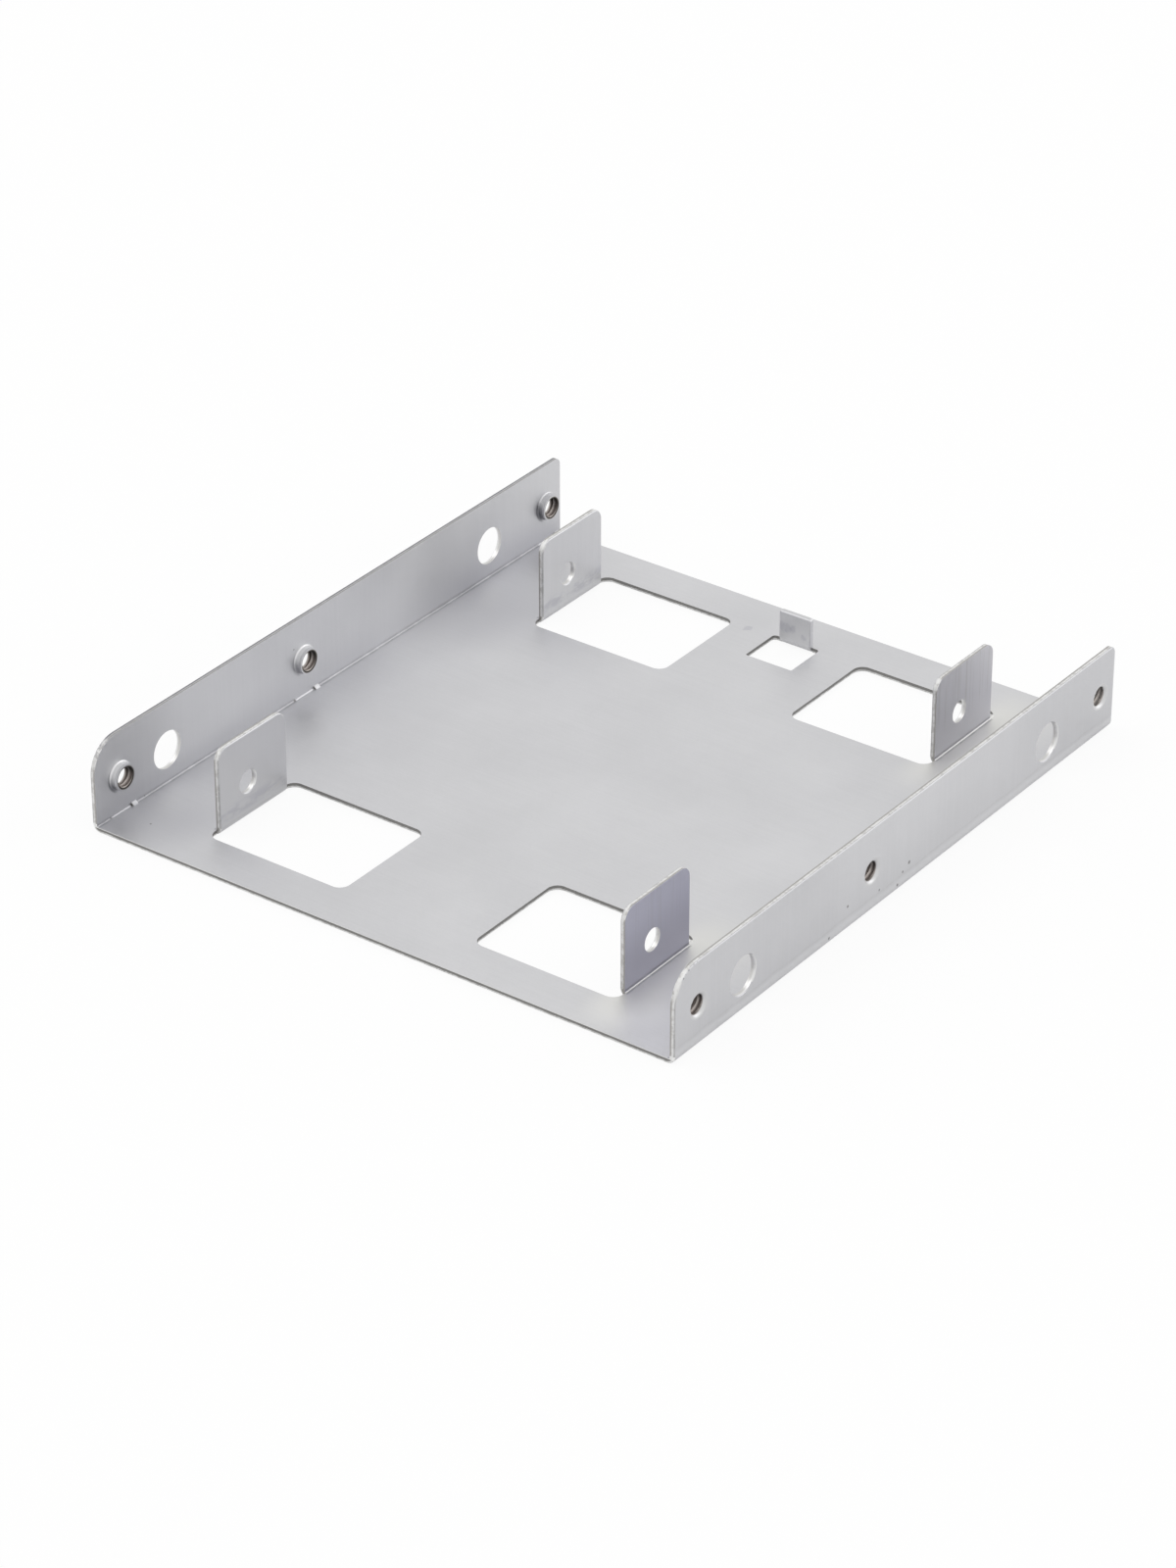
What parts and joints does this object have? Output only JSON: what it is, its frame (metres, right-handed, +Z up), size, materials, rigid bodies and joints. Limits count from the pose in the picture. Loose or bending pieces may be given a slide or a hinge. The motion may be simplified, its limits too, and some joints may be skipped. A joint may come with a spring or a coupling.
{
  "type": "drive bay adapter bracket",
  "caption": "Folded sheet-steel tray that carries a 2.5 inch drive between upright tabs and screws into a 3.5 inch bay by tapped holes in its side flanges.",
  "frame": {"origin": "middle of the floor's underside, midway between the flanges and between the front and rear edges", "axes": "+Z up, square to the floor; +Y from the open front edge to the rear edge, where the stop stands; +X across, to the right flange"},
  "size_m": [0.1016, 0.1106, 0.0139],
  "materials": {
    "galvanised_sheet": "satin"
  },
  "bodies": {
    "root": {"bracket": "galvanised_sheet"}
  },
  "joints": []
}
